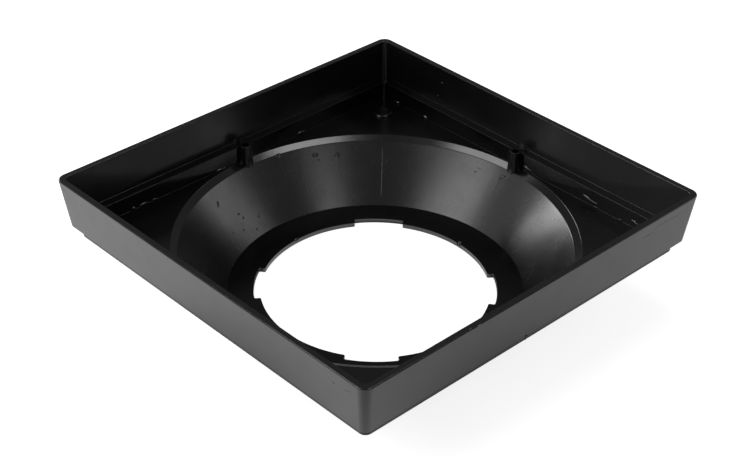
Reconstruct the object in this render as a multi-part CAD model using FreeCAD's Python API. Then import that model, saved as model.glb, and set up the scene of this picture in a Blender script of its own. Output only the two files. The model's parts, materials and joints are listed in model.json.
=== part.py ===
import FreeCAD, Part
import math
import os

from FreeCAD import Vector

# Square drain adapter, moulded in one piece: a square tray that funnels into a round outlet.
# Millimetres. Z is zero on the underside of the outlet ring and points up, X and Y run along the sides.

# Square upper wall, leaning in towards its foot
outer_side = 300.0
rim_width = 4.7
wall_depth = 36.5
wall_lean = 4.7
inner_lean = 0.2
outer_corner_radius = 7.0
foot_corner_radius = 5.0
inner_corner_radius = 3.4
rim_edge_radius = 0.9
wall_edge_radius = 0.9

# Level ledge inside the wall, for a grate
ledge_depth = 30.0
ledge_width = 7.1
ledge_corner_radius = 1.2
ledge_root_radius = 0.5
ledge_edge_radius = 0.5

# Well below the ledge, its floor, and the skirt around it
floor_depth = 42.0
floor_thickness = 2.9
floor_root_radius = 0.4
well_lean = 0.1
skirt_wall = 2.4
skirt_corner_radius = 5.0
skirt_edge_radius = 1.2

# Funnel between the floor and the outlet ring, with a flatter lip around its top
funnel_margin = 0.5
funnel_wall = 2.4
funnel_foot_radius = 1.2
lip_width = 5.1
lip_fall = 2.6
lip_edge_radius = 0.8

# Outlet ring with four long tabs, and four shallow notches on the diagonals
outlet_depth = 80.7
outlet_diameter = 157.0
outlet_land = 22.6
ring_thickness = 3.3
ring_edge_radius = 1.0
notch_depth = 4.4
notch_angle = 25.0
notch_corner_radius = 1.1

# Hollow screw posts, half sunk in the middle of each side, and the room for a screw head behind each
post_diameter = 8.4
post_draft = 1.7
post_rise = 1.0
post_bite = 2.5
post_edge_radius = 0.3
post_hole_diameter = 5.0
post_hole_depth = 6.0
head_diameter = 19.4
head_height = 2.8

# Round pads on the four corners of the floor
pad_diameter = 15.0
pad_height = 1.6
pad_inset = 18.6
pad_edge_radius = 1.4

# Sides of the square, and how far a cutting shape runs past the face that it opens
side_count = 4
overcut = 5.0
quarter_turn = 360 / side_count

# Heights above the underside of the ring
rim_z = outlet_depth + ring_thickness
wall_foot_z = rim_z - wall_depth
ledge_z = rim_z - ledge_depth
post_top_z = ledge_z + post_rise
floor_z = rim_z - floor_depth
skirt_foot_z = floor_z - floor_thickness
lip_z = floor_z - lip_fall

# Half widths of the square parts
outer_half = outer_side / 2
wall_foot_half = outer_half - wall_lean
rim_inner_half = outer_half - rim_width
ledge_root_half = rim_inner_half - inner_lean
ledge_edge_half = ledge_root_half - ledge_width
well_half = ledge_edge_half - well_lean
skirt_half = well_half + skirt_wall

# Radii of the round parts, and where the posts and pads stand
funnel_radius = well_half - funnel_margin
lip_radius = funnel_radius - lip_width
outlet_radius = outlet_diameter / 2
notch_radius = outlet_radius + notch_depth
funnel_foot = outlet_radius + outlet_land
post_radius = post_diameter / 2
post_centre = well_half + post_bite - post_radius
pad_centre = (well_half - pad_inset) * math.sqrt(2)


def polar(radius, degrees, z=0.0):
    """Point at a radius and a bearing about the Z axis."""
    angle = math.radians(degrees)
    return Vector(radius * math.cos(angle), radius * math.sin(angle), z)


def rounded_square(half, radius, z):
    """Square outline with an arc at each corner."""
    flat = half - radius
    lift = Vector(0, 0, z)
    edges = []
    for side in range(side_count):
        out = polar(1, quarter_turn * side)
        along = polar(1, quarter_turn * (side + 1))
        corner = lift + (out + along) * flat
        bulge = corner + (out + along).normalize() * radius
        start = lift + out * half - along * flat
        edges.append(Part.LineSegment(start, corner + out * radius).toShape())
        edges.append(Part.Arc(corner + out * radius, bulge, corner + along * radius).toShape())
    return Part.Wire(edges)


def frustum(foot, top):
    """Solid between two rounded squares, each given as half width, corner radius and height."""
    return Part.makeLoft([rounded_square(*foot), rounded_square(*top)], True, True)


def edge_reach(edge):
    """Furthest that an edge lies from the Z axis along X or Y."""
    box = edge.BoundBox
    return max(abs(box.XMin), abs(box.XMax), abs(box.YMin), abs(box.YMax))


def level_edges(shape, z):
    """Edges of a shape that lie flat at one height."""
    hair = 1e-6
    return [edge for edge in shape.Edges
            if abs(edge.BoundBox.ZMin - z) < hair and abs(edge.BoundBox.ZMax - z) < hair]


def turned(corners):
    """Solid turned about the Z axis. Each corner of its profile is a radius, a height and a rounding."""
    points = [Vector(radius, 0, z) for radius, z, _ in corners]
    entries, bulges, exits = [], [], []
    for index, (_, _, rounding) in enumerate(corners):
        here = points[index]
        back = (points[index - 1] - here).normalize()
        ahead = (points[(index + 1) % len(points)] - here).normalize()
        half_angle = back.getAngle(ahead) / 2
        reach = rounding / math.tan(half_angle)
        entries.append(here + back * reach)
        exits.append(here + ahead * reach)
        bulges.append(here + (back + ahead).normalize() * (rounding / math.sin(half_angle) - rounding))
    edges = []
    for index, (_, _, rounding) in enumerate(corners):
        if rounding > 0:
            edges.append(Part.Arc(entries[index], bulges[index], exits[index]).toShape())
        edges.append(Part.LineSegment(exits[index], entries[(index + 1) % len(points)]).toShape())
    return Part.Face(Part.Wire(edges)).revolve(Vector(0, 0, 0), Vector(0, 0, 1), 360)


def tray_outside():
    """Leaning upper wall over an inset skirt, filled, with its outer edges rounded."""
    wall = frustum((wall_foot_half, foot_corner_radius, wall_foot_z),
                   (outer_half, outer_corner_radius, rim_z))
    skirt = frustum((skirt_half, skirt_corner_radius, skirt_foot_z),
                    (skirt_half, skirt_corner_radius, wall_foot_z))
    tray = wall.fuse(skirt).removeSplitter()
    halfway = (wall_foot_half + skirt_half) / 2
    wall_foot = [edge for edge in level_edges(tray, wall_foot_z) if edge_reach(edge) > halfway]
    tray = tray.makeFillet(wall_edge_radius, wall_foot)
    tray = tray.makeFillet(skirt_edge_radius, level_edges(tray, skirt_foot_z))
    return tray.makeFillet(rim_edge_radius, level_edges(tray, rim_z))


def tray_inside():
    """Hollow of the tray, from the rim over the ledge down to the floor."""
    above = frustum((ledge_root_half, inner_corner_radius, ledge_z),
                    (rim_inner_half, inner_corner_radius, rim_z))
    well = frustum((well_half, ledge_corner_radius, floor_z),
                   (ledge_edge_half, ledge_corner_radius, ledge_z))
    hollow = above.fuse(well).removeSplitter()
    halfway = (ledge_root_half + ledge_edge_half) / 2
    ledge_root = [edge for edge in level_edges(hollow, ledge_z) if edge_reach(edge) > halfway]
    hollow = hollow.makeFillet(ledge_root_radius, ledge_root)
    ledge_edge = [edge for edge in level_edges(hollow, ledge_z) if edge_reach(edge) < halfway]
    hollow = hollow.makeFillet(ledge_edge_radius, ledge_edge)
    return hollow.makeFillet(floor_root_radius, level_edges(hollow, floor_z))


def funnel_outside():
    """Filled funnel with the outlet ring at its foot, as thick as its wall outside the hollow."""
    slope = (lip_radius - funnel_foot) / (lip_z - ring_thickness)
    outside = funnel_foot + funnel_wall * math.sqrt(1 + slope ** 2)
    foot = outside - slope * ring_thickness
    top = outside + slope * (skirt_foot_z - ring_thickness)
    return turned([
        (0, 0, 0),
        (foot, 0, ring_edge_radius),
        (top, skirt_foot_z, 0),
        (top, floor_z, 0),
        (0, floor_z, 0),
    ])


def funnel_inside():
    """Hollow of the funnel, run up into the hollow of the tray."""
    return turned([
        (0, ring_thickness, 0),
        (funnel_foot, ring_thickness, funnel_foot_radius),
        (lip_radius, lip_z, lip_edge_radius),
        (funnel_radius, floor_z, 0),
        (funnel_radius, floor_z + overcut, 0),
        (0, floor_z + overcut, 0),
    ])


def outlet():
    """Hole through the ring: one circle between the tabs, stepping out to a larger one in each notch."""
    edges = []
    for side in range(side_count):
        middle = quarter_turn * (side + 0.5)
        start = middle - notch_angle / 2
        end = middle + notch_angle / 2
        tab_middle = middle + quarter_turn / 2
        corners = [polar(outlet_radius, start), polar(notch_radius, start),
                   polar(notch_radius, end), polar(outlet_radius, end)]
        next_start = polar(outlet_radius, start + quarter_turn)
        edges.append(Part.LineSegment(corners[0], corners[1]).toShape())
        edges.append(Part.Arc(corners[1], polar(notch_radius, middle), corners[2]).toShape())
        edges.append(Part.LineSegment(corners[2], corners[3]).toShape())
        edges.append(Part.Arc(corners[3], polar(outlet_radius, tab_middle), next_start).toShape())
    outline = Part.Face(Part.Wire(edges))
    outline.translate(Vector(0, 0, -overcut))
    hole = outline.extrude(Vector(0, 0, ring_thickness + 2 * overcut))
    upright = [edge for edge in hole.Edges if edge.BoundBox.ZLength > ring_thickness]
    return hole.makeFillet(notch_corner_radius, upright)


def screw_post(side):
    """Tapered post against the middle of one side, run down through the floor."""
    foot_z = skirt_foot_z - post_diameter
    foot = polar(post_centre, quarter_turn * side, foot_z)
    post = Part.makeCone(post_radius + post_draft, post_radius, post_top_z - foot_z, foot)
    return post.makeFillet(post_edge_radius, level_edges(post, post_top_z))


def screw_hole(side):
    """Blind hole for a screw, down the middle of a post."""
    foot = polar(post_centre, quarter_turn * side, post_top_z - post_hole_depth)
    return Part.makeCylinder(post_hole_diameter / 2, post_hole_depth + overcut, foot)


def head_room(side):
    """Room for a screw head on the ledge, a shallow hollow in the wall behind a post."""
    foot = polar(post_centre, quarter_turn * side, ledge_z)
    return Part.makeCylinder(head_diameter / 2, head_height, foot)


def floor_pad(side):
    """Low round pad on one corner of the floor, rooted in it."""
    root = floor_thickness / 2
    foot = polar(pad_centre, quarter_turn * (side + 0.5), floor_z - root)
    pad = Part.makeCylinder(pad_diameter / 2, root + pad_height, foot)
    return pad.makeFillet(pad_edge_radius, level_edges(pad, floor_z + pad_height))


sides = range(side_count)
filled = tray_outside().fuse(funnel_outside())
posts = [screw_post(side).common(filled) for side in sides]
adapter = filled.cut([tray_inside(), funnel_inside(), outlet()] + [head_room(side) for side in sides])
adapter = adapter.fuse(posts + [floor_pad(side) for side in sides])
adapter = adapter.cut([screw_hole(side) for side in sides])
adapter = adapter.removeSplitter()

rim_middle = (outer_half + rim_inner_half) / 2
rim_inner_edges = [edge for edge in level_edges(adapter, rim_z) if edge_reach(edge) < rim_middle]
adapter = adapter.makeFillet(rim_edge_radius, rim_inner_edges)

os.makedirs("parts", exist_ok=True)
adapter.exportStep("parts/drain_adapter.step")
print("solids", len(adapter.Solids), "valid", adapter.isValid(), "volume", round(adapter.Volume))
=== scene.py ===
import json
import math

import bmesh
import bpy
from mathutils import Matrix, Vector


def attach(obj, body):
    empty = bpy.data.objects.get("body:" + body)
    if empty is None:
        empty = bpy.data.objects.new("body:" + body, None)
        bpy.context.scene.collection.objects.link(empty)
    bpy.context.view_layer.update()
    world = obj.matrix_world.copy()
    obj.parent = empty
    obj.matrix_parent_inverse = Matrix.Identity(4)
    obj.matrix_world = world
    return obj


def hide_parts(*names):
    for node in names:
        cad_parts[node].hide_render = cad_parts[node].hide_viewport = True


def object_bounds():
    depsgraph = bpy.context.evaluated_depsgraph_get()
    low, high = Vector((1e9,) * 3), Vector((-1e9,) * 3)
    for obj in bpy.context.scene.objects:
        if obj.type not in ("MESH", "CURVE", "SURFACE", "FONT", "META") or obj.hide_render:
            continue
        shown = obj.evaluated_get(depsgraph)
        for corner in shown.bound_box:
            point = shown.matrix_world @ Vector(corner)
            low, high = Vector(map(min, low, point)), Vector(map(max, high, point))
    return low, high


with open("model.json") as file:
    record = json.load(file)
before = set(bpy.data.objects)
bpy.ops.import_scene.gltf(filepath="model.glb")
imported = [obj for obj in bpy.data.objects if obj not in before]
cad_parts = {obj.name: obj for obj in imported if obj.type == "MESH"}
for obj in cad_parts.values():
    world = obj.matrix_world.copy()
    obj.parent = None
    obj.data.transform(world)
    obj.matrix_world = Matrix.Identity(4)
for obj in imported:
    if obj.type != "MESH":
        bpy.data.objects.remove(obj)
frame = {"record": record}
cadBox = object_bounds()
mm = 0.001
hair = 0.001 * mm  # nearer than this counts as the same place
up = Vector((0, 0, 1))
white = (1, 1, 1, 1)
sideCount = 4
quarterTurn = 2 * math.pi / sideCount

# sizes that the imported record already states
mounts = {mount["name"]: mount for mount in frame["record"]["mounts"]}
rimZ = cadBox[1].z
shoulderZ = mounts["shoulder"]["pos_m"][2]
outletRadius = mounts["outlet"]["dims"]["r_mm"] * mm
ringTop = mounts["outlet"]["dims"]["length_mm"] * mm
postCircle = mounts["screw_posts"]["dims"]["pcd_mm"] / 2 * mm
postHole = mounts["screw_posts"]["dims"]["hole_r_mm"] * mm
postTop = mounts["screw_posts"]["pos_m"][2]
print("frame loaded, box", [round(v, 4) for corner in cadBox for v in corner])


# small helpers shared by the pieces
def outward(angle):
    return Vector((math.cos(angle), math.sin(angle), 0))


def newEdges(bm, known):
    return [edge for edge in bm.edges if edge not in known]


def roundEdges(bm, edges, width, segments):
    bmesh.ops.bevel(bm, geom=edges, offset=width, offset_type="OFFSET", segments=segments,
                    profile=0.5, affect="EDGES", material=-1, clamp_overlap=True)


def meshObject(name, bm):
    mesh = bpy.data.meshes.new(name)
    bm.to_mesh(mesh)
    bm.free()
    obj = bpy.data.objects.new(name, mesh)
    bpy.context.scene.collection.objects.link(obj)
    return obj


# tray: loops of a rounded square, from the floor up the inside, over the rim and down the outside
tray = {
    "sideCuts": 31,
    "cornerSegments": 8,
    "edgeSegments": 4,
    "floorZ": 42.0 * mm,
    "underZ": 39.1 * mm,
    "ledgeZ": 54.0 * mm,
    # half width, corner radius and edge rounding in millimetres
    "floorStrip": (137.65, 0.8, 0),
    "wellFoot": (137.9, 1.0, 0.2),
    "ledgeEdge": (138.0, 1.0, 0.4),
    "ledgeRoot": (145.1, 3.4, 0.4),
    "rimInside": (145.3, 3.4, 0.45),
    "rimOutside": (150.0, 7.0, 1.0),
    "wallFoot": (145.3, 5.0, 0.8),
    "skirtTop": (140.3, 5.0, 0),
    "skirtFoot": (140.3, 5.0, 1.2),
    "underStrip": (138.3, 3.4, 0),
}


def squareLoop(bm, half, corner, z):
    known = set(bm.edges)
    grid = bmesh.ops.create_grid(bm, x_segments=1, y_segments=1, size=half,
                                 matrix=Matrix.Translation(up * z))
    bmesh.ops.bevel(bm, geom=grid["verts"], offset=corner, offset_type="OFFSET",
                    segments=tray["cornerSegments"], profile=0.5, affect="VERTICES", material=-1,
                    clamp_overlap=False)
    outline = newEdges(bm, known)
    straight = [edge for edge in outline if edge.calc_length() > half]
    bmesh.ops.delete(bm, geom=list(outline[0].link_faces), context="FACES_ONLY")
    bmesh.ops.subdivide_edges(bm, edges=straight, cuts=tray["sideCuts"])
    return newEdges(bm, known)


def buildTray(bm):
    heights = {
        "floorStrip": tray["floorZ"], "wellFoot": tray["floorZ"],
        "ledgeEdge": tray["ledgeZ"], "ledgeRoot": tray["ledgeZ"],
        "rimInside": rimZ, "rimOutside": rimZ,
        "wallFoot": shoulderZ, "skirtTop": shoulderZ,
        "skirtFoot": tray["underZ"], "underStrip": tray["underZ"],
    }
    # the loops are bridged while stacked apart, then moved to their heights
    apart = 20 * mm
    names = list(heights)
    loops = {}
    for step, name in enumerate(names):
        half, corner, _ = tray[name]
        loops[name] = squareLoop(bm, half * mm, corner * mm, step * apart)
    for lower, upper in zip(names, names[1:]):
        bmesh.ops.bridge_loops(bm, edges=loops[lower] + loops[upper])
    for step, name in enumerate(names):
        verts = list({v for edge in loops[name] for v in edge.verts})
        bmesh.ops.translate(bm, verts=verts, vec=up * (heights[name] - step * apart))
    bmesh.ops.recalc_face_normals(bm, faces=bm.faces)
    for name in names:
        rounding = tray[name][2] * mm
        if rounding:
            roundEdges(bm, loops[name], rounding, tray["edgeSegments"])
    return loops["floorStrip"], loops["underStrip"]


# funnel: two turned walls that meet at the outlet, with tabs drawn in from the ring
funnel = {
    "steps": 144,
    "topRadius": 137.4 * mm,
    "stepWidth": 0.2 * mm,
    "lipRadius": 132.3 * mm,
    "lipZ": 39.4 * mm,
    "footRadius": 101.1 * mm,
    "underTopRadius": 135.2 * mm,
    "underFootRadius": 101.4 * mm,
    "notchRadius": 82.9 * mm,
    "notchHalfAngle": math.radians(12.5),
    "notchCorner": 1.1 * mm,
    "cornerAngle": math.radians(60),  # a sharper turn around the outlet is a corner
    "lipEdge": 0.3 * mm,
    "footEdge": 0.06 * mm,
    "underEdge": 0.7 * mm,
    "edgeSegments": 4,
    "outletEdge": 0.12 * mm,
    "outletSegments": 2,
}


def turnProfile(bm, corners):
    verts = [bm.verts.new((radius, 0, z)) for radius, z in corners]
    edges = [bm.edges.new(pair) for pair in zip(verts, verts[1:])]
    bmesh.ops.spin(bm, geom=verts + edges, cent=(0, 0, 0), axis=up, angle=2 * math.pi,
                   steps=funnel["steps"], use_merge=True)


def ringEdges(bm, radius, z):
    return [edge for edge in bm.edges
            if all(abs(v.co.z - z) < hair and abs(v.co.xy.length - radius) < hair for v in edge.verts)]


def offDiagonal(point):
    angle = math.atan2(point.y, point.x) % quarterTurn
    return abs(angle - quarterTurn / 2)


def buildTabs(bm, z):
    ring = ringEdges(bm, funnel["notchRadius"], z)
    tabEdges = []
    for edge in ring:
        middle = (edge.verts[0].co + edge.verts[1].co) / 2
        if offDiagonal(middle) > funnel["notchHalfAngle"]:
            tabEdges.append(edge)
    drawn = bmesh.ops.extrude_edge_only(bm, edges=tabEdges)["geom"]
    tips = [item for item in drawn if isinstance(item, bmesh.types.BMVert)]
    inwards = outletRadius / funnel["notchRadius"]
    bmesh.ops.scale(bm, vec=(inwards, inwards, 1), verts=tips)


def openEdges(bm, z):
    return [edge for edge in bm.edges if len(edge.link_faces) == 1
            and all(abs(v.co.z - z) < hair and v.co.xy.length < funnel["footRadius"]
                    for v in edge.verts)]


def connectedFaces(start):
    found = {start}
    queue = [start]
    while queue:
        for edge in queue.pop().edges:
            fresh = [face for face in edge.link_faces if face not in found]
            found.update(fresh)
            queue.extend(fresh)
    return list(found)


# small step down from the floor to the lip, as radius and height
def lipStep():
    step = funnel["stepWidth"]
    return [(funnel["topRadius"], tray["floorZ"]), (funnel["topRadius"] - step, tray["floorZ"] - step)]


def buildFunnel(bm):
    turnProfile(bm, lipStep() + [(funnel["lipRadius"], funnel["lipZ"]),
                                 (funnel["footRadius"], ringTop), (funnel["notchRadius"], ringTop)])
    turnProfile(bm, [(funnel["underTopRadius"], tray["underZ"]),
                     (funnel["underFootRadius"], 0), (funnel["notchRadius"], 0)])
    for z in (0, ringTop):
        buildTabs(bm, z)
    topLoop = openEdges(bm, ringTop)
    underLoop = openEdges(bm, 0)
    walls = bmesh.ops.bridge_loops(bm, edges=topLoop + underLoop)["faces"]
    footEdges = ringEdges(bm, funnel["footRadius"], ringTop)
    bmesh.ops.recalc_face_normals(bm, faces=connectedFaces(footEdges[0].link_faces[0]))
    for radius, z, rounding in ((funnel["lipRadius"], funnel["lipZ"], funnel["lipEdge"]),
                                (funnel["footRadius"], ringTop, funnel["footEdge"]),
                                (funnel["underFootRadius"], 0, funnel["underEdge"])):
        roundEdges(bm, ringEdges(bm, radius, z), rounding, funnel["edgeSegments"])
    upright = {edge for face in walls for edge in face.edges
               if abs(edge.verts[0].co.z - edge.verts[1].co.z) > ringTop / 2}
    corners = [edge for edge in upright if edge.calc_face_angle() > funnel["cornerAngle"]]
    roundEdges(bm, corners, funnel["notchCorner"], funnel["edgeSegments"])
    outletReach = funnel["notchRadius"] + funnel["notchCorner"]
    brim = [edge for edge in bm.edges if len(edge.link_faces) == 2
            and edge.calc_face_angle() > funnel["cornerAngle"]
            and edge.verts[0].co.xy.length < outletReach]
    roundEdges(bm, brim, funnel["outletEdge"], funnel["outletSegments"])
    topRing = ringEdges(bm, funnel["topRadius"], tray["floorZ"])
    underRing = ringEdges(bm, funnel["underTopRadius"], tray["underZ"])
    return topRing, underRing


# posts and pads: small turned solids, joined to the body
post = {
    "segments": 48,
    "topRadius": 4.2 * mm,
    "footRadius": 5.3 * mm,
    "edge": 0.3 * mm,
    "edgeSegments": 3,
    "holeDepth": 6.0 * mm,
    "headRadius": 9.7 * mm,
    "headHeight": 2.8 * mm,
    "headBite": 0.04 * mm,
    "footZ": 39.4 * mm,
    "footBreak": 135.4 * mm,
    "footSlope": 0.5,
    "backPlane": 139.4 * mm,
    "backTop": 49.0 * mm,
    "levelReach": 0.1 * mm,  # corners this little above a level still belong to it
}
pad = {
    "segments": 64,
    "radius": 7.5 * mm,
    "height": 1.6 * mm,
    "edge": 1.4 * mm,
    "edgeSegments": 6,
    "centre": 119.3 * mm,
    "root": 1.0 * mm,
}


def drum(bm, foot, top, footRadius, topRadius, segments, edge=0, edgeSegments=0):
    made = bmesh.ops.create_cone(bm, cap_ends=True, segments=segments, radius1=footRadius,
                                 radius2=topRadius, depth=(top - foot).length,
                                 matrix=Matrix.Translation((foot + top) / 2))
    if edge:
        rim = {e for v in made["verts"] for e in v.link_edges
               if all(abs(w.co.z - top.z) < hair for w in e.verts)}
        roundEdges(bm, list(rim), edge, edgeSegments)


def addPost(bm, side):
    known = set(bm.verts)
    out = outward(side * quarterTurn)
    drum(bm, out * postCircle + up * post["footZ"], out * postCircle + up * postTop, post["footRadius"],
         post["topRadius"], post["segments"], post["edge"], post["edgeSegments"])
    own = [v for v in bm.verts if v not in known]
    edges = list({e for v in own for e in v.link_edges})
    faces = list({f for v in own for f in v.link_faces})
    bmesh.ops.bisect_plane(bm, geom=own + edges + faces, plane_co=up * post["backTop"], plane_no=up)
    # below, the post keeps inside the skirt and follows the funnel's wall
    for v in [v for v in bm.verts if v not in known]:
        beyond = v.co.dot(out) - post["backPlane"]
        if beyond > 0 and v.co.z < post["backTop"] + post["levelReach"]:
            v.co -= out * beyond
        short = post["footBreak"] - v.co.dot(out)
        if short > 0 and v.co.z < post["footZ"] + post["levelReach"]:
            v.co -= up * short * post["footSlope"]
    # the faces drawn in are no longer flat
    bmesh.ops.triangulate(bm, faces=[f for f in bm.faces if not known.intersection(f.verts)])


def addPad(bm, side):
    spot = outward((side + 0.5) * quarterTurn) * pad["centre"] * math.sqrt(2)
    drum(bm, spot + up * (tray["floorZ"] - pad["root"]), spot + up * (tray["floorZ"] + pad["height"]),
         pad["radius"], pad["radius"], pad["segments"], pad["edge"], pad["edgeSegments"])


def addHole(bm, side):
    spot = outward(side * quarterTurn) * postCircle
    drum(bm, spot + up * (postTop - post["holeDepth"]), spot + up * (postTop + post["headHeight"]),
         postHole, postHole, post["segments"])


def addHeadRoom(bm, side):
    spot = outward(side * quarterTurn) * postCircle
    drum(bm, spot + up * (tray["ledgeZ"] - post["headBite"]),
         spot + up * (tray["ledgeZ"] + post["headHeight"]),
         post["headRadius"], post["headRadius"], post["segments"])


# marks of moulding and handling, each a flattened ball set into a surface
marks = {
    "segments": 20,
    "rings": 14,
    "sunk": 0.5,
    # which way a ball moves along the surface's normal, to leave a shallow nick or a low lump
    "nick": 1,
    "lump": -1,
    # funnel: bearing, height, slant, half length, half width, depth in degrees and millimetres
    "funnelNicks": [
        (169.2, 38.9, 0, 3.0, 2.1, 0.7), (157.1, 34.1, 10, 2.9, 2.1, 0.4),
        (149.8, 32.3, -10, 2.7, 2.0, 0.4), (156.2, 31.2, 0, 1.2, 0.9, 0.2),
        (199.1, 30.8, 50, 3.0, 1.3, 0.5), (193.8, 19.6, 0, 1.3, 1.0, 0.35),
        (193.0, 16.6, 40, 1.3, 0.9, 0.35), (196.2, 11.2, 0, 1.1, 0.9, 0.35),
        (190.4, 7.3, 30, 1.3, 0.9, 0.35), (201.5, 14.0, 0, 1.0, 0.8, 0.3),
        (186.5, 12.5, 20, 1.0, 0.8, 0.3), (205.0, 8.5, 0, 0.9, 0.8, 0.3),
        (91.3, 35.0, 20, 2.2, 1.2, 0.35), (134.6, 22.0, 90, 21.0, 0.3, 0.06),
    ],
    "funnelLumps": [
        (81.2, 22.8, 60, 1.2, 0.7, 0.4), (86.0, 27.1, 20, 1.2, 0.7, 0.4),
        (55.2, 20.4, 0, 0.8, 0.7, 0.4), (88.6, 36.0, 15, 2.0, 0.8, 0.4),
        (92.6, 33.6, 0, 1.5, 0.7, 0.3), (101.0, 34.0, 0, 1.6, 0.5, 0.2),
        (101.6, 31.6, 0, 1.6, 0.5, 0.2),
    ],
    # flat sides: x, y, height, then the same
    "rightWellFlash": [
        (9.8, 137.9, 44.9, -7, 5.6, 0.9, 0.8), (68.4, 137.9, 46.2, -6, 8.6, 1.1, 1.0),
        (74.8, 137.8, 42.5, 0, 1.8, 0.7, 0.5), (96.3, 137.8, 42.5, 0, 1.6, 0.7, 0.5),
        (109.5, 137.9, 46.6, -6, 4.2, 1.1, 1.0), (-124.5, 137.8, 42.6, 4, 4.0, 0.9, 0.8),
        (-93.0, 137.8, 42.7, -5, 3.6, 1.1, 0.9),
    ],
    "rightWallFlash": [
        (-83.3, 145.2, 72.7, 0, 0.9, 0.9, 0.5), (-87.2, 145.2, 60.4, 0, 0.7, 0.6, 0.3),
    ],
    "leftWellFlash": [
        (-137.8, -21.5, 42.5, 0, 4.6, 0.8, 0.7), (-137.9, -98.0, 43.4, 0, 1.9, 0.9, 0.8),
        (-137.9, -89.5, 43.1, 2, 4.2, 0.7, 0.6), (-137.9, -80.0, 42.7, 0, 2.6, 0.6, 0.5),
        (-137.9, 54.0, 43.3, 3, 4.2, 0.8, 0.7),
    ],
    "leftFaceScuffs": [
        (135.5, -149.0, 76.0, 12, 4.6, 0.7, 0.2), (123.5, -148.8, 74.5, -30, 1.4, 0.8, 0.25),
        (-128.5, -149.1, 76.5, -5, 5.6, 0.6, 0.18), (-140.0, -149.3, 78.6, 0, 1.1, 0.8, 0.25),
        (-121.0, -149.0, 75.8, 20, 1.2, 0.8, 0.25),
    ],
    "rightFaceScuffs": [
        (149.2, 117.0, 77.5, -1.4, 27.0, 0.6, 0.18), (148.8, 98.0, 74.6, -3, 9.0, 0.6, 0.18),
    ],
    "rimNicks": [(149.4, -62.0, 83.8, 0, 6.0, 1.4, 0.5)],
    "rimSlant": 0.4,
    # top edge of the outlet: bearing, slant, half length, half width, depth
    "gateNubs": [(181.9, 0, 2.6, 1.2, 0.5), (88.2, 0, 2.6, 2.2, 0.9)],
    # burr under the foot of a wall: x, y, length, and the radii of its tip and root
    "burr": (145.0, -11.0, 2.3, 0.22, 1.1),
}


def addBall(bm, spot, along, normal, slant, halfLength, halfWidth, depth, lift):
    across = normal.cross(along)
    turn = math.radians(slant)
    long = along * math.cos(turn) + across * math.sin(turn)
    halfDepth = depth / (1 - marks["sunk"])
    axes = Matrix((long * halfLength, normal.cross(long) * halfWidth, normal * halfDepth))
    place = Matrix.Translation((spot + normal * halfDepth * marks["sunk"] * lift) * mm)
    bmesh.ops.create_uvsphere(bm, u_segments=marks["segments"], v_segments=marks["rings"], radius=mm,
                              matrix=place @ axes.transposed().to_4x4())


def addFunnelMarks(bm, rows, lift):
    rise = Vector((funnel["lipRadius"] - funnel["footRadius"], funnel["lipZ"] - ringTop))
    for bearing, z, *shape in rows:
        out = outward(math.radians(bearing))
        radius = (funnel["footRadius"] + (z * mm - ringTop) * rise.x / rise.y) / mm
        along = up.cross(out)
        normal = (out * rise.x + up * rise.y).normalized().cross(along)
        addBall(bm, out * radius + up * z, along, normal, *shape, lift)


def addSideMarks(bm, rows, normal, lift):
    along = up.cross(normal).normalized()
    for x, y, z, *shape in rows:
        addBall(bm, Vector((x, y, z)), along, normal.normalized(), *shape, lift)


def addNubs(bm):
    for bearing, *shape in marks["gateNubs"]:
        out = outward(math.radians(bearing))
        edge = (out * outletRadius + up * ringTop) / mm
        addBall(bm, edge, up.cross(out), (up - out).normalized(), *shape, marks["lump"])


def addBurr(bm):
    x, y, length, tip, root = marks["burr"]
    foot = Vector((x * mm, y * mm, shoulderZ - length * mm))
    drum(bm, foot, foot + up * (length + root) * mm, tip * mm, root * mm, marks["segments"])


def addLumps(bm):
    addFunnelMarks(bm, marks["funnelLumps"], marks["lump"])
    for name, normal in (("rightWellFlash", (0, -1, 0)), ("rightWallFlash", (0, -1, 0)),
                         ("leftWellFlash", (1, 0, 0))):
        addSideMarks(bm, marks[name], Vector(normal), marks["lump"])
    addNubs(bm)
    addBurr(bm)


def addNicks(bm):
    lean = (tray["rimOutside"][0] - tray["wallFoot"][0]) * mm / (rimZ - shoulderZ)
    addFunnelMarks(bm, marks["funnelNicks"], marks["nick"])
    for name, normal in (("leftFaceScuffs", (0, -1, -lean)), ("rightFaceScuffs", (1, 0, -lean)),
                         ("rimNicks", (marks["rimSlant"], 0, 1))):
        addSideMarks(bm, marks[name], Vector(normal), marks["nick"])


def combine(body, tool, operation):
    modifier = body.modifiers.new(operation.lower(), "BOOLEAN")
    modifier.operation = operation
    modifier.solver = "EXACT"
    modifier.use_self = True
    modifier.object = tool
    evaluated = body.evaluated_get(bpy.context.evaluated_depsgraph_get())
    mesh = bpy.data.meshes.new_from_object(evaluated)
    body.modifiers.clear()
    oldMesh = body.data
    body.data = mesh
    mesh.name = body.name
    bpy.data.meshes.remove(oldMesh)
    bpy.data.objects.remove(tool, do_unlink=True)


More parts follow.
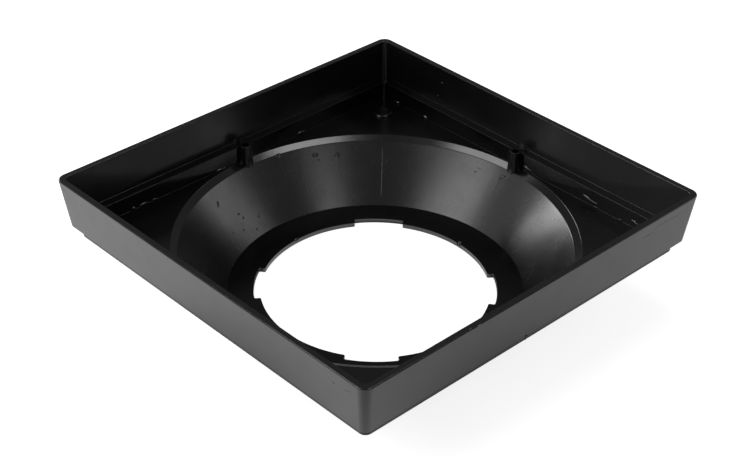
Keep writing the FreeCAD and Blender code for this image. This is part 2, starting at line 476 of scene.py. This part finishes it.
def buildBody():
    bm = bmesh.new()
    floorLoop, underLoop = buildTray(bm)
    topRing, underRing = buildFunnel(bm)
    bmesh.ops.triangle_fill(bm, edges=floorLoop + topRing, use_beauty=True, normal=up)
    bmesh.ops.triangle_fill(bm, edges=underLoop + underRing, use_beauty=True, normal=-up)
    bmesh.ops.remove_doubles(bm, verts=bm.verts, dist=hair / 2)
    bmesh.ops.recalc_face_normals(bm, faces=bm.faces)
    print("open edges on the shell", sum(len(edge.link_faces) != 2 for edge in bm.edges))
    body = meshObject("adapterBody", bm)
    stages = (("headRooms", (addHeadRoom,), None, "DIFFERENCE"),
              ("postsAndPads", (addPost, addPad), addLumps, "UNION"),
              ("holes", (addHole,), addNicks, "DIFFERENCE"))
    for name, makers, wear, operation in stages:
        tool = bmesh.new()
        for side in range(sideCount):
            for make in makers:
                make(tool, side)
        if wear:
            wear(tool)
        bmesh.ops.recalc_face_normals(tool, faces=tool.faces)
        combine(body, meshObject(name, tool), operation)
    return body


# edges that stay crisp under smooth shading
crisp = {
    "angle": math.radians(40),
    "ringReach": 0.02 * mm,
}


def shadeSmooth(body):
    mesh = body.data
    for polygon in mesh.polygons:
        polygon.use_smooth = True
    mesh.set_sharp_from_angle(angle=crisp["angle"])
    reach = crisp["ringReach"]
    rings = lipStep() + [(funnel["underTopRadius"], tray["underZ"])]
    onRing = [any(abs(v.co.z - z) < reach and abs(v.co.xy.length - radius) < reach for radius, z in rings)
              for v in mesh.vertices]
    for edge in mesh.edges:
        if all(onRing[index] for index in edge.vertices):
            edge.use_edge_sharp = True
    weighted = body.modifiers.new("weightedNormals", "WEIGHTED_NORMAL")
    weighted.keep_sharp = True


body = buildBody()
shadeSmooth(body)
print("body built,", len(body.data.polygons), "faces")


# black moulded plastic, polished by its mould and scuffed by handling
plastic = {
    "colour": (0.0022, 0.0022, 0.0024, 1),
    # roughness and specular level of each surface
    "finishes": {
        "ring": (0.2, 0.4), "edge": (0.3, 1.0), "flash": (0.12, 1.0), "funnel": (0.26, 1.0),
        "lip": (0.15, 0.9), "floor": (0.22, 0.6), "post": (0.28, 0.6), "wall": (0.3, 1.0),
        "outside": (0.3, 1.0), "rim": (0.2, 1.0),
    },
    "patchSize": 0.016,
    "patchDetail": 4,
    "patchSpan": (0.3, 0.7),
    "patchRoughness": 0.05,
    "grainSize": 0.0006,
    "grainDetail": 2,
    "grainDepth": 0.00001,
    # rubbed streaks down the funnel and slanting scratches: width, length, threshold, roughness, depth
    "streaks": (0.0016, 0.02, 0.64, 0.03, 0.0000006),
    "scratches": (0.0006, 0.016, 0.69, 0.1, 0.00003),
    "scratchSlant": 35,
    "lineDetail": 3,
    "lineFade": 0.08,  # a line is at its full strength this far past its threshold
    "flankWear": 0.05,  # least share of that wear, away from the back of the funnel
}
# how the middle of a face tells which surface it belongs to
borders = {
    "steep": 0.3,  # a face whose normal rises less than this is a wall
    "line": 0.1 * mm,
    "fineLine": 0.02 * mm,
    "nubLift": 0.05 * mm,
    "wellFoot": 0.2 * mm,
    "wellReach": 130.0 * mm,
    "ledge": 0.6 * mm,
    "rim": 0.8 * mm,
}


def finishOf(centre, normal):
    radius = centre.xy.length
    reach = max(abs(centre.x), abs(centre.y))
    aside = min(abs(centre.x), abs(centre.y))
    steep = abs(normal.z) < borders["steep"]
    line = borders["line"]
    fromPost = math.hypot(reach - postCircle, aside)
    onPostTop = fromPost < post["topRadius"] + borders["fineLine"]
    if onPostTop or (fromPost < post["footRadius"] and steep):
        return "post"
    inOutlet = radius < outletRadius - line
    onRing = radius < funnel["notchRadius"] and centre.z > ringTop + borders["nubLift"]
    inWell = tray["floorZ"] + borders["wellFoot"] < centre.z < tray["ledgeZ"] - borders["ledge"]
    offWall = borders["wellReach"] < reach < tray["wellFoot"][0] * mm - borders["fineLine"]
    if inOutlet or onRing or (inWell and offWall):
        return "flash"
    if radius < funnel["notchRadius"] + line and steep:
        return "edge"
    if radius < funnel["lipRadius"] - line and centre.z < funnel["lipZ"]:
        return "ring" if radius < funnel["footRadius"] - line else "funnel"
    if radius < funnel["topRadius"] and centre.z < tray["floorZ"] - line:
        return "lip"
    if centre.z > rimZ - borders["rim"]:
        return "rim"
    if reach > tray["rimInside"][0] * mm or centre.z < tray["underZ"]:
        return "outside"
    return "wall" if centre.z > tray["ledgeZ"] + borders["ledge"] else "floor"


def markFinishes(mesh):
    layers = [mesh.attributes.new(name, "FLOAT", "FACE") for name in ("roughness", "specular", "worn")]
    for polygon in mesh.polygons:
        centre = polygon.center
        name = finishOf(centre, polygon.normal)
        towardsBack = (centre.y - centre.x) / (math.sqrt(2) * centre.xy.length)
        worn = max(towardsBack, plastic["flankWear"]) if name == "funnel" else 0
        for layer, value in zip(layers, (*plastic["finishes"][name], worn)):
            layer.data[polygon.index].value = value


# a node with its inputs set or linked, and its outputs handed back
def shaderNode(tree, kind, inputs, **settings):
    node = tree.nodes.new("ShaderNode" + kind)
    for name, value in settings.items():
        setattr(node, name, value)
    for socket, value in inputs.items():
        if isinstance(value, bpy.types.NodeSocket):
            tree.links.new(value, node.inputs[socket])
        else:
            node.inputs[socket].default_value = value
    return node.outputs


def maths(tree, operation, *values):
    return shaderNode(tree, "Math", dict(enumerate(values)), operation=operation)["Value"]


def noise(tree, place, size, detail):
    return shaderNode(tree, "TexNoise", {"Vector": place, "Scale": 1 / size, "Detail": detail})["Fac"]


def ramp(tree, value, span, ends=(0, 1), easing="LINEAR"):
    return shaderNode(tree, "MapRange", {"Value": value, "From Min": span[0], "From Max": span[1],
                                         "To Min": ends[0], "To Max": ends[1]},
                      interpolation_type=easing)["Result"]


# long thin marks: noise stretched along one direction and cut off below a threshold
def lineMarks(tree, flat, slant, width, length, threshold):
    turned = shaderNode(tree, "Mapping", {"Vector": flat, "Rotation": (0, 0, math.radians(slant))})
    drawn = shaderNode(tree, "Mapping", {"Vector": turned["Vector"], "Scale": (1 / width, 1 / length, 1)})
    blots = noise(tree, drawn["Vector"], 1, plastic["lineDetail"])
    return ramp(tree, blots, (threshold, threshold + plastic["lineFade"]))


def plasticMaterial():
    material = bpy.data.materials.new("blackPlastic")
    material.use_nodes = True
    tree = material.node_tree
    shader = tree.nodes["Principled BSDF"]
    shader.inputs["Base Color"].default_value = plastic["colour"]
    place = shaderNode(tree, "TexCoord", {})["Object"]
    finish, specular, worn = (shaderNode(tree, "Attribute", {}, attribute_name=name)["Fac"]
                              for name in ("roughness", "specular", "worn"))
    # broad patches of sheen
    patches = noise(tree, place, plastic["patchSize"], plastic["patchDetail"])
    halfRange = plastic["patchRoughness"] / 2
    sheen = ramp(tree, patches, plastic["patchSpan"], (-halfRange, halfRange))
    roughness = maths(tree, "ADD", finish, sheen)
    # fine moulded grain
    grain = noise(tree, place, plastic["grainSize"], plastic["grainDetail"])
    relief = maths(tree, "MULTIPLY", grain, plastic["grainDepth"])
    # the funnel laid flat, its seam at the front corner, for marks that run down it
    spot = shaderNode(tree, "SeparateXYZ", {"Vector": place})
    bearing = maths(tree, "ARCTAN2", maths(tree, "ADD", spot["X"], spot["Y"]),
                    maths(tree, "SUBTRACT", spot["Y"], spot["X"]))
    arc = maths(tree, "MULTIPLY", bearing, (funnel["footRadius"] + funnel["lipRadius"]) / 2)
    flat = shaderNode(tree, "CombineXYZ", {"X": arc, "Y": spot["Z"]})["Vector"]
    for name, slant in (("streaks", 0), ("scratches", plastic["scratchSlant"])):
        width, length, threshold, rough, depth = plastic[name]
        lines = maths(tree, "MULTIPLY", lineMarks(tree, flat, slant, width, length, threshold), worn)
        roughness = maths(tree, "ADD", roughness, maths(tree, "MULTIPLY", lines, rough))
        relief = maths(tree, "SUBTRACT", relief, maths(tree, "MULTIPLY", lines, depth))
    bump = shaderNode(tree, "Bump", {"Height": relief, "Distance": 1})["Normal"]
    tree.links.new(specular, shader.inputs["Specular IOR Level"])
    tree.links.new(roughness, shader.inputs["Roughness"])
    tree.links.new(bump, shader.inputs["Normal"])
    return material


markFinishes(body.data)
body.data.materials.clear()
body.data.materials.append(plasticMaterial())
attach(body, "root")
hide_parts("drain_adapter")
print("plastic on,", len(plastic["finishes"]), "finishes")


# floor, lights and camera
stage = {
    "floorSize": 14.0,
    "floorColour": (0.9, 0.9, 0.9, 1),
    # painted shade: darker floor colour that reflections see under the part
    "paintedShadeColour": (0.4, 0.4, 0.4, 1),
    "pictureGlow": 0.8,
    # painted light and painted shade that only reflections see on the floor: each span in metres, with
    # the strength at its two ends
    # painted light: floor glow that only reflections see, stronger towards -x
    "paintedMirrorLight": (0.66, 0.39),
    "mirrorSpan": (0.05, 0.2),
    # painted shade: reflections see less painted light off the front corner
    "cornerPaintedShade": (1, 0.42),
    "cornerSpan": (0.32, 0.37),
    # painted shade: under the part, within this distance from the centre, reflections see no painted
    # light
    "shade": (0.13, 0.2),
    # painted light: a bright ring on the floor just inside the outlet, for its wall to mirror
    "edgeInside": (0.069, 0.074),
    "edgeOutside": (0.079, 0.083),
    "worldLight": 0.13,
    "lightDistance": 1.35,
    "lightPower": 4,  # watts for a square metre at a brightness of 1
}
# bearing and height in degrees, width and height in metres, brightness
softboxes = {
    "leftLow": (184, 14, 0.84, 0.5, 4.6),
    "leftFill": (220, 27, 0.6, 0.42, 0.35),
    "leftHigh": (182, 63, 0.36, 0.36, 2.4),
    "rightLow": (64, 24, 0.72, 0.48, 0.9),
    "rightHigh": (93, 70.5, 0.32, 0.32, 2.5),
    "frontLeft": (257, 37, 0.9, 0.55, 2.1),
    "frontRight": (355, 42, 0.4, 0.4, 1.4),
}
view = {
    "location": (0.659498, -0.627482, 0.660545),
    "target": (0.004128, -0.005658, 0.048934),
    "roll": 0.5813,
    "lens": 79.238,
    "sensor": 36,
}


def floorMaterial():
    material = bpy.data.materials.new("paleFloor")
    material.use_nodes = True
    tree = material.node_tree
    shader = tree.nodes["Principled BSDF"]
    shader.inputs["Roughness"].default_value = 1
    shader.inputs["Specular IOR Level"].default_value = 0
    shader.inputs["Emission Color"].default_value = white
    path = shaderNode(tree, "LightPath", {})
    place = shaderNode(tree, "TexCoord", {})["Object"]
    away = shaderNode(tree, "VectorMath", {0: place}, operation="LENGTH")["Value"]
    spot = shaderNode(tree, "SeparateXYZ", {"Vector": place})

    def fade(value, span, ends=(0, 1)):
        return ramp(tree, value, span, ends, "SMOOTHSTEP")

    # the floor reads as white in the picture and pale in reflections, which also see painted shade under
    # the part, painted shade off the front corner, and painted light brighter on the left, where most
    # light comes from
    towardsCorner = maths(tree, "SUBTRACT", spot["X"], spot["Y"])
    clear = maths(tree, "MULTIPLY", fade(away, stage["shade"]),
                  fade(towardsCorner, stage["cornerSpan"], stage["cornerPaintedShade"]))
    # painted light: a bright ring on the floor just inside the outlet, which the outlet's wall mirrors
    edge = maths(tree, "MULTIPLY", fade(away, stage["edgeInside"]),
                 fade(away, stage["edgeOutside"], (1, 0)))
    clear = maths(tree, "MAXIMUM", clear, edge)
    # painted light seen only in reflections, stronger on the left
    paintedMirrorLight = fade(spot["X"], stage["mirrorSpan"], stage["paintedMirrorLight"])
    paintedLightInMirror = maths(tree, "MULTIPLY", clear, path["Is Glossy Ray"])
    # painted shade: glossy rays outside the painted light see the darker floor colour
    paintedShadeMix = maths(tree, "SUBTRACT", path["Is Glossy Ray"], paintedLightInMirror)
    colour = shaderNode(tree, "MixRGB", {"Fac": paintedShadeMix, "Color1": stage["floorColour"],
                                         "Color2": stage["paintedShadeColour"]})["Color"]
    # white backdrop for the camera, plus the painted light that reflections see
    backdropAndPaintedGlow = maths(tree, "ADD", maths(tree, "MULTIPLY", path["Is Camera Ray"], stage["pictureGlow"]),
                 maths(tree, "MULTIPLY", paintedLightInMirror, paintedMirrorLight))
    tree.links.new(colour, shader.inputs["Base Color"])
    tree.links.new(backdropAndPaintedGlow, shader.inputs["Emission Strength"])
    return material


def buildFloor():
    bm = bmesh.new()
    bmesh.ops.create_grid(bm, x_segments=1, y_segments=1, size=stage["floorSize"] / 2)
    floor = meshObject("floor", bm)
    floor.data.materials.append(floorMaterial())


def buildLight():
    for name, (bearing, height, wide, high, brightness) in softboxes.items():
        lamp = bpy.data.lights.new(name, "AREA")
        lamp.shape = "RECTANGLE"
        lamp.size, lamp.size_y = wide, high
        lamp.energy = stage["lightPower"] * wide * high * brightness
        turn, rise = math.radians(bearing), math.radians(height)
        out = Vector((math.cos(turn) * math.cos(rise), math.sin(turn) * math.cos(rise), math.sin(rise)))
        softbox = bpy.data.objects.new(name, lamp)
        softbox.matrix_world = (Matrix.Translation(out * stage["lightDistance"])
                                @ (-out).to_track_quat("-Z", "Y").to_matrix().to_4x4())
        bpy.context.scene.collection.objects.link(softbox)
    world = bpy.data.worlds.new("studio")
    bpy.context.scene.world = world
    world.use_nodes = True
    background = world.node_tree.nodes["Background"]
    background.inputs["Color"].default_value = white
    background.inputs["Strength"].default_value = stage["worldLight"]


def buildCamera():
    lens = bpy.data.cameras.new("camera")
    lens.sensor_width = view["sensor"]
    lens.lens = view["lens"]
    camera = bpy.data.objects.new("camera", lens)
    aim = Vector(view["target"]) - Vector(view["location"])
    turn = aim.to_track_quat("-Z", "Y").to_matrix().to_4x4()
    camera.matrix_world = (Matrix.Translation(view["location"]) @ turn
                           @ Matrix.Rotation(math.radians(view["roll"]), 4, "Z"))
    bpy.context.scene.collection.objects.link(camera)
    bpy.context.scene.camera = camera


buildFloor()
buildLight()
buildCamera()
bpy.context.scene.view_settings.view_transform = "Standard"
print("stage set,", len(softboxes), "softboxes")
